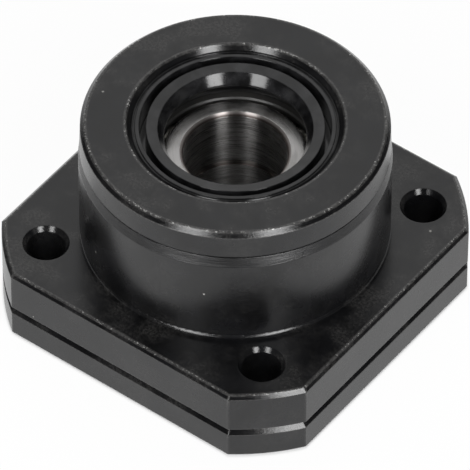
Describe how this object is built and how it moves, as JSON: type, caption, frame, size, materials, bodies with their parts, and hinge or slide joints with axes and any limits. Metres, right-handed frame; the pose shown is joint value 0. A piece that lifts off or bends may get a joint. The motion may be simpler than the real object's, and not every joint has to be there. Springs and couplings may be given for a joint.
{
  "type": "flange-mounted ball screw support unit",
  "caption": "Square flanged bearing unit with a round boss that carries the driven end of a ball screw in a pair of sealed angular contact bearings.",
  "frame": {"origin": "on the screw axis, at the outer face of the retaining plate, which the unit rests on", "axes": "+Z along the screw axis and out of the boss, +X and +Y square to the flange's flats"},
  "size_m": [0.044, 0.044, 0.027],
  "materials": {
    "blackened_steel": "machined steel, black oxide, slightly oily",
    "screw_steel": "black oxide",
    "bearing_steel": "ground",
    "ball_steel": "polished",
    "cage_plastic": "moulded",
    "seal_rubber": "moulded, oily",
    "pressed_steel": "pressed"
  },
  "bodies": {
    "unit": {"housing": "blackened_steel", "retaining_plate": "blackened_steel", "plate_screws": "screw_steel", "front_seal": "seal_rubber", "front_seal_case": "pressed_steel", "rear_seal": "seal_rubber", "rear_seal_case": "pressed_steel", "front_outer_ring": "bearing_steel", "rear_outer_ring": "bearing_steel"},
    "front_ring": {"front_inner_ring": "bearing_steel"},
    "front_train": {"front_cage": "cage_plastic", "front_ball_01": "ball_steel", "front_ball_02": "ball_steel", "front_ball_03": "ball_steel", "front_ball_04": "ball_steel", "front_ball_05": "ball_steel", "front_ball_06": "ball_steel", "front_ball_07": "ball_steel", "front_ball_08": "ball_steel", "front_ball_09": "ball_steel", "front_ball_10": "ball_steel"},
    "rear_ring": {"rear_inner_ring": "bearing_steel"},
    "rear_train": {"rear_cage": "cage_plastic", "rear_ball_01": "ball_steel", "rear_ball_02": "ball_steel", "rear_ball_03": "ball_steel", "rear_ball_04": "ball_steel", "rear_ball_05": "ball_steel", "rear_ball_06": "ball_steel", "rear_ball_07": "ball_steel", "rear_ball_08": "ball_steel", "rear_ball_09": "ball_steel", "rear_ball_10": "ball_steel"}
  },
  "joints": [
    {"name": "front_ring_spin", "type": "hinge", "parent": "unit", "child": "front_ring", "pos_m": [0, 0, 0.01815], "axis": [0, 0, 1], "continuous": true},
    {"name": "front_train_spin", "type": "hinge", "parent": "unit", "child": "front_train", "pos_m": [0, 0, 0.01815], "axis": [0, 0, 1], "continuous": true},
    {"name": "rear_ring_spin", "type": "hinge", "parent": "unit", "child": "rear_ring", "pos_m": [0, 0, 0.01015], "axis": [0, 0, 1], "continuous": true},
    {"name": "rear_train_spin", "type": "hinge", "parent": "unit", "child": "rear_train", "pos_m": [0, 0, 0.01015], "axis": [0, 0, 1], "continuous": true}
  ],
  "couplings": [
    {"joint": "front_train_spin", "follows": "front_ring_spin", "ratio": 0.397},
    {"joint": "rear_train_spin", "follows": "rear_ring_spin", "ratio": 0.397}
  ]
}
